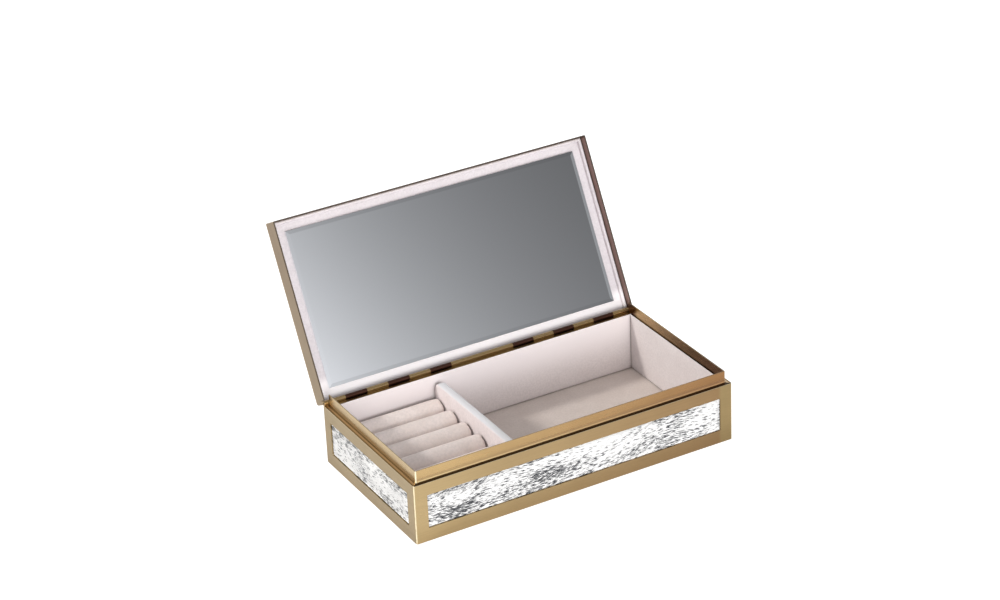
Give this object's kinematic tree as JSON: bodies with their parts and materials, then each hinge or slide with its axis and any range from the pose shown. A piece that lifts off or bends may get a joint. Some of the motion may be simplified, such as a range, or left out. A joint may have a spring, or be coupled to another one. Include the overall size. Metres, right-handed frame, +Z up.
{
  "type": "jewellery box",
  "caption": "Shallow rectangular jewellery box with a hinged mirrored lid, framed hide panels, a padded ring section and an open compartment.",
  "frame": {"origin": "centre of the flat underside of the base", "axes": "+X to the right along the hinge, +Y towards the hinge at the back, +Z up; the lid stands open on its stop"},
  "size_m": [0.254, 0.2049, 0.1649],
  "materials": {
    "brass_frame": "satin antique, brushed along each bar",
    "brass_collar": "satin, a little warmer than the frames",
    "hinge_brass": "satin, darkened between the knuckles",
    "hair_on_hide": "short white hair with clustered dark flecks",
    "velvet_lining": "pale blush velvet",
    "velvet_rolls": "beige-blush velvet, slightly napped",
    "mirror": "polished, bevelled edge",
    "fibreboard": "plain pressed board",
    "base_plate": "matt dark lacquer",
    "base_felt": "dense dark felt"
  },
  "bodies": {
    "base": {"frame_front": "brass_frame", "frame_back": "brass_frame", "frame_left": "brass_frame", "frame_right": "brass_frame", "hide_panel_front": "hair_on_hide", "hide_panel_back": "hair_on_hide", "hide_panel_left": "hair_on_hide", "hide_panel_right": "hair_on_hide", "board_front": "fibreboard", "board_back": "fibreboard", "board_left": "fibreboard", "board_right": "fibreboard", "collar_front": "brass_collar", "collar_left": "brass_collar", "collar_right": "brass_collar", "inner_wall_back": "brass_collar", "base_felt": "base_felt", "base_plate": "base_plate", "floor_lining_rings": "velvet_lining", "floor_lining_main": "velvet_lining", "lining_left": "velvet_lining", "lining_right": "velvet_lining", "lining_front": "velvet_lining", "lining_back": "velvet_lining", "divider": "velvet_lining", "ring_bar_1": "velvet_rolls", "ring_bar_2": "velvet_rolls", "ring_bar_3": "velvet_rolls", "ring_bar_4": "velvet_rolls", "ring_bar_5": "velvet_rolls", "ring_bar_6": "velvet_rolls", "hinge_leaf_base": "hinge_brass", "hinge_pin": "hinge_brass"},
    "lid": {"lid_top_frame": "brass_frame", "lid_side_front": "brass_frame", "lid_side_back": "brass_frame", "lid_side_left": "brass_frame", "lid_side_right": "brass_frame", "lid_hide_panel": "hair_on_hide", "lid_board": "fibreboard", "lid_lining": "velvet_lining", "mirror": "mirror", "hinge_leaf_lid": "hinge_brass"}
  },
  "joints": [
    {"name": "lid_hinge", "type": "hinge", "parent": "base", "child": "lid", "pos_m": [0, 0.06524, 0.0477], "axis": [1, 0, 0], "range_deg": [0, 118]}
  ]
}
